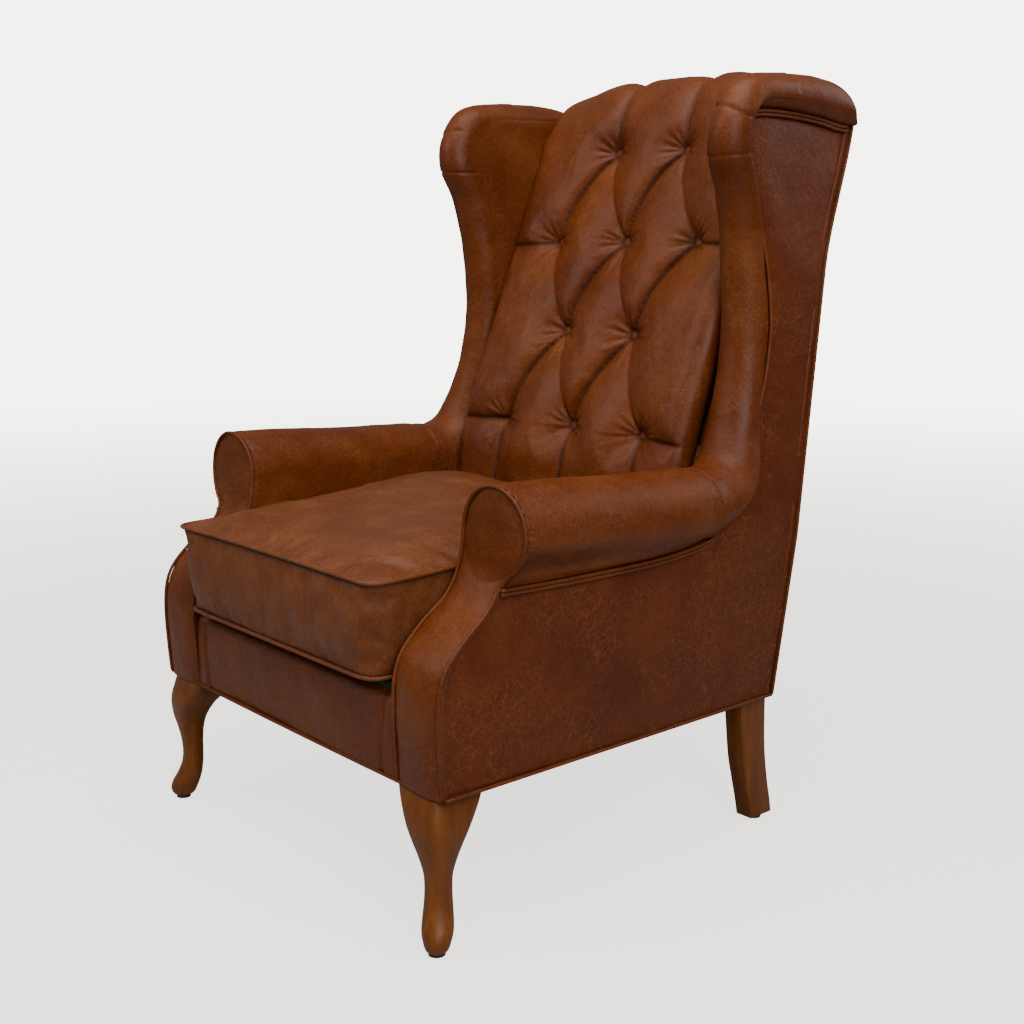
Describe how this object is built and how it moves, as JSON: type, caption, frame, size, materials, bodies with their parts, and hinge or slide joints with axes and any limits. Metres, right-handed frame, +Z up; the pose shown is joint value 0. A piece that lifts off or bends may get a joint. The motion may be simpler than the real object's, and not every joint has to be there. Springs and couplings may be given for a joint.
{
  "type": "wing armchair",
  "caption": "High-back wing armchair with rolled arms, deep-buttoned leather back, loose piped seat cushion and cabriole front legs.",
  "frame": {"origin": "on the floor, at the middle of the chair's plan", "axes": "+Z up; the chair faces -Y; the sitter's left is at +X"},
  "size_m": [0.806, 0.8755, 1.199],
  "materials": {
    "leather": "satin",
    "beech": "matte",
    "leg_wood": "satin",
    "foam": "matte",
    "black_cloth": "matte",
    "zip_tape": "matte",
    "steel": "satin",
    "glide": "matte"
  },
  "bodies": {
    "chair": {"front_rail": "beech", "back_rail": "beech", "side_rail_left": "beech", "side_rail_right": "beech", "front_corner_block_left": "beech", "front_corner_block_right": "beech", "back_corner_block_left": "beech", "back_corner_block_right": "beech", "front_post_left": "beech", "front_post_right": "beech", "arm_rail_left": "beech", "arm_rail_right": "beech", "back_upright_left": "beech", "back_upright_right": "beech", "crest_rail": "beech", "lower_back_rail": "beech", "wing_frame_left": "beech", "wing_frame_right": "beech", "front_leg_left": "leg_wood", "front_leg_right": "leg_wood", "back_leg_left": "leg_wood", "back_leg_right": "leg_wood", "front_glide_left": "glide", "front_glide_right": "glide", "back_glide_left": "glide", "back_glide_right": "glide", "front_leg_bolt_left": "steel", "front_leg_bolt_right": "steel", "back_leg_bolt_left": "steel", "back_leg_bolt_right": "steel", "seat_webbing": "black_cloth", "seat_deck": "black_cloth", "dust_cover": "black_cloth", "front_border": "leather", "arm_facing_left": "leather", "arm_facing_right": "leather", "arm_pad_left": "leather", "arm_pad_right": "leather", "wing_pad_left": "leather", "wing_pad_right": "leather", "outside_panel_left": "leather", "outside_panel_right": "leather", "back_pad": "leather", "back_button_01": "leather", "back_button_02": "leather", "back_button_03": "leather", "back_button_04": "leather", "back_button_05": "leather", "back_button_06": "leather", "back_button_07": "leather", "back_button_08": "leather", "back_button_09": "leather", "back_button_10": "leather", "outside_back": "leather"},
    "cushion": {"cushion_cover": "leather", "cushion_core": "foam", "cushion_bottom_piping": "leather", "cushion_top_piping": "leather", "cushion_zip": "zip_tape"},
    "zip_slider": {"zip_slider": "steel"}
  },
  "joints": [
    {"name": "cushion_lift", "type": "slide", "parent": "chair", "child": "cushion", "axis": [0, 0, 1], "range_m": [0, 0.27]},
    {"name": "zip_slide", "type": "slide", "parent": "cushion", "child": "zip_slider", "axis": [1, 0, 0], "range_m": [0, 0.368]}
  ]
}
